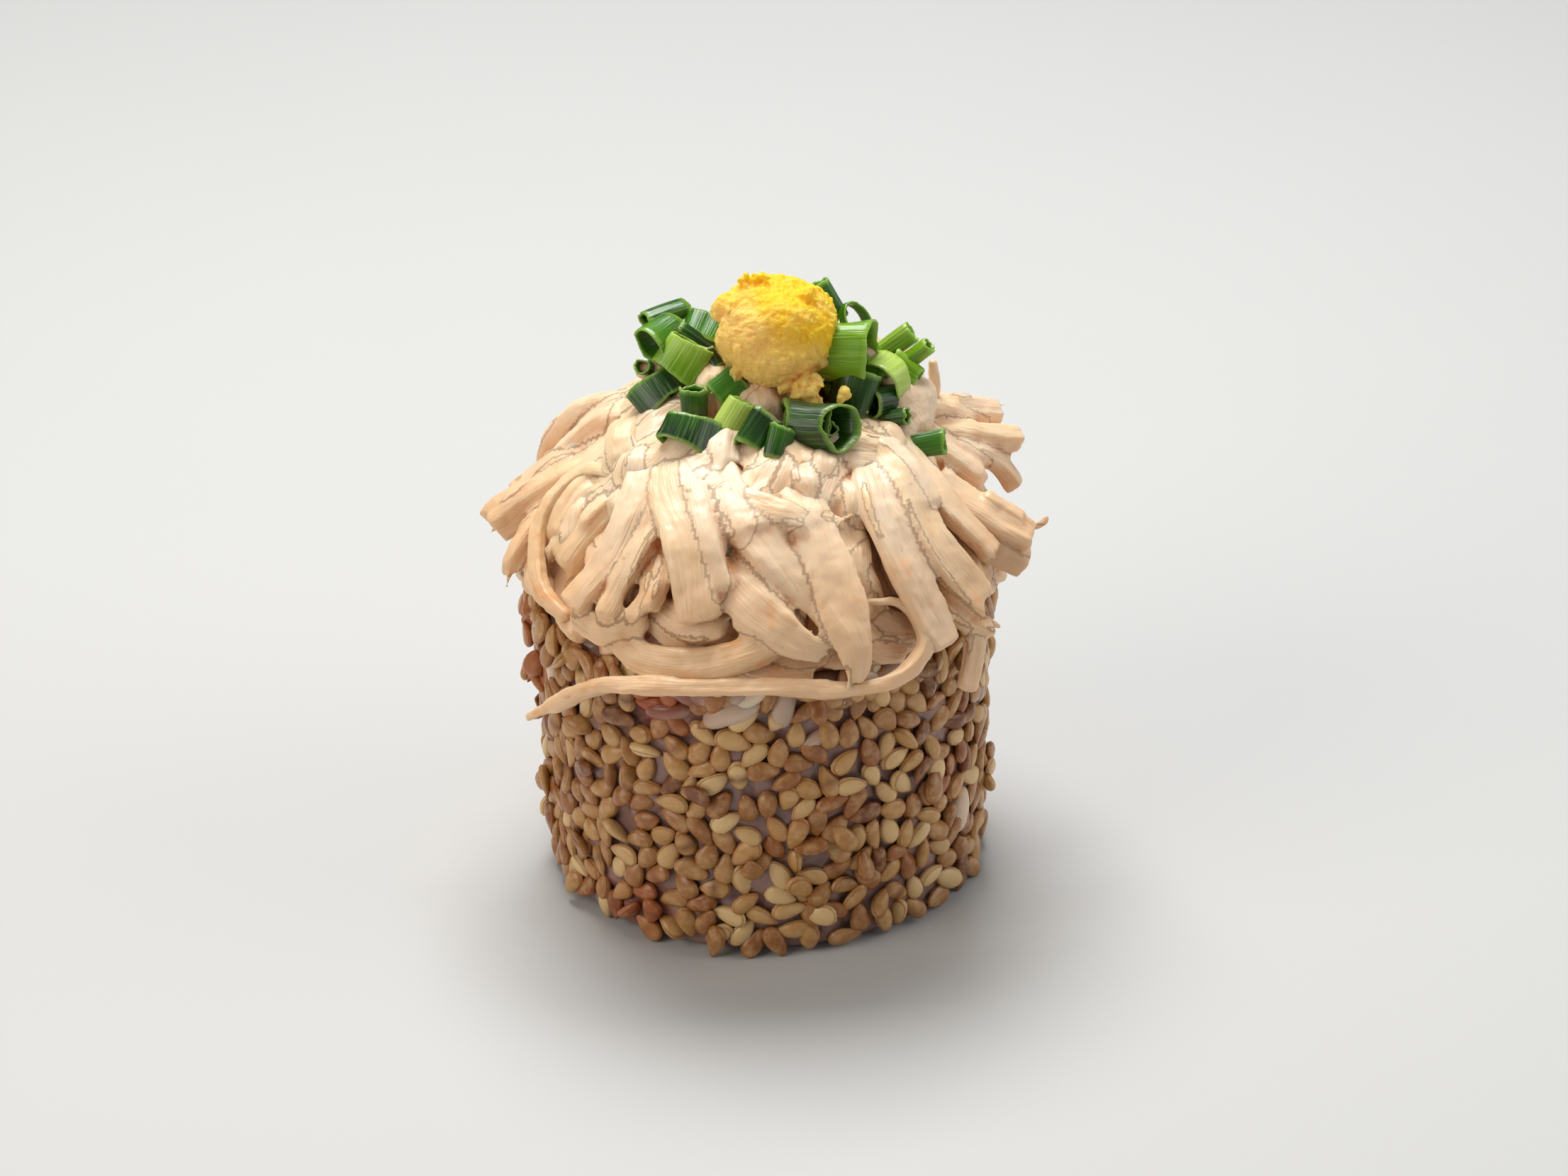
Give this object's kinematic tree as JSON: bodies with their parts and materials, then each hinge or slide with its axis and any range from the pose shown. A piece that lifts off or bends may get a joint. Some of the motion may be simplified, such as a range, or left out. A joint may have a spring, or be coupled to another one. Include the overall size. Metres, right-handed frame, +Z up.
{
  "type": "sushi roll",
  "caption": "Upright round slice of rice roll coated in toasted sesame, topped with shredded chicken, chopped scallion and a crumbly ball of egg yolk.",
  "frame": {"origin": "middle of the roll's flat foot", "axes": "+Z up through the upright roll; -Y towards the side that the picture shows; +X to that side's right"},
  "size_m": [0.0469, 0.0439, 0.0533],
  "materials": {
    "toasted_sesame": "toasted sesame hulls over sticky rice, satin",
    "sticky_rice": "cooked sushi rice that shows between the seeds, translucent",
    "poached_chicken": "poached chicken in creamy sauce, wet gloss",
    "scallion_leaf": "fresh cut leaf, wet gloss",
    "egg_yolk": "crumbly hard boiled yolk, matte"
  },
  "bodies": {
    "root": {"sesame_rice_roll": "toasted_sesame", "shredded_chicken": "poached_chicken", "chopped_scallion": "scallion_leaf", "scallion_stray": "scallion_leaf", "egg_yolk_ball": "egg_yolk"}
  },
  "joints": []
}
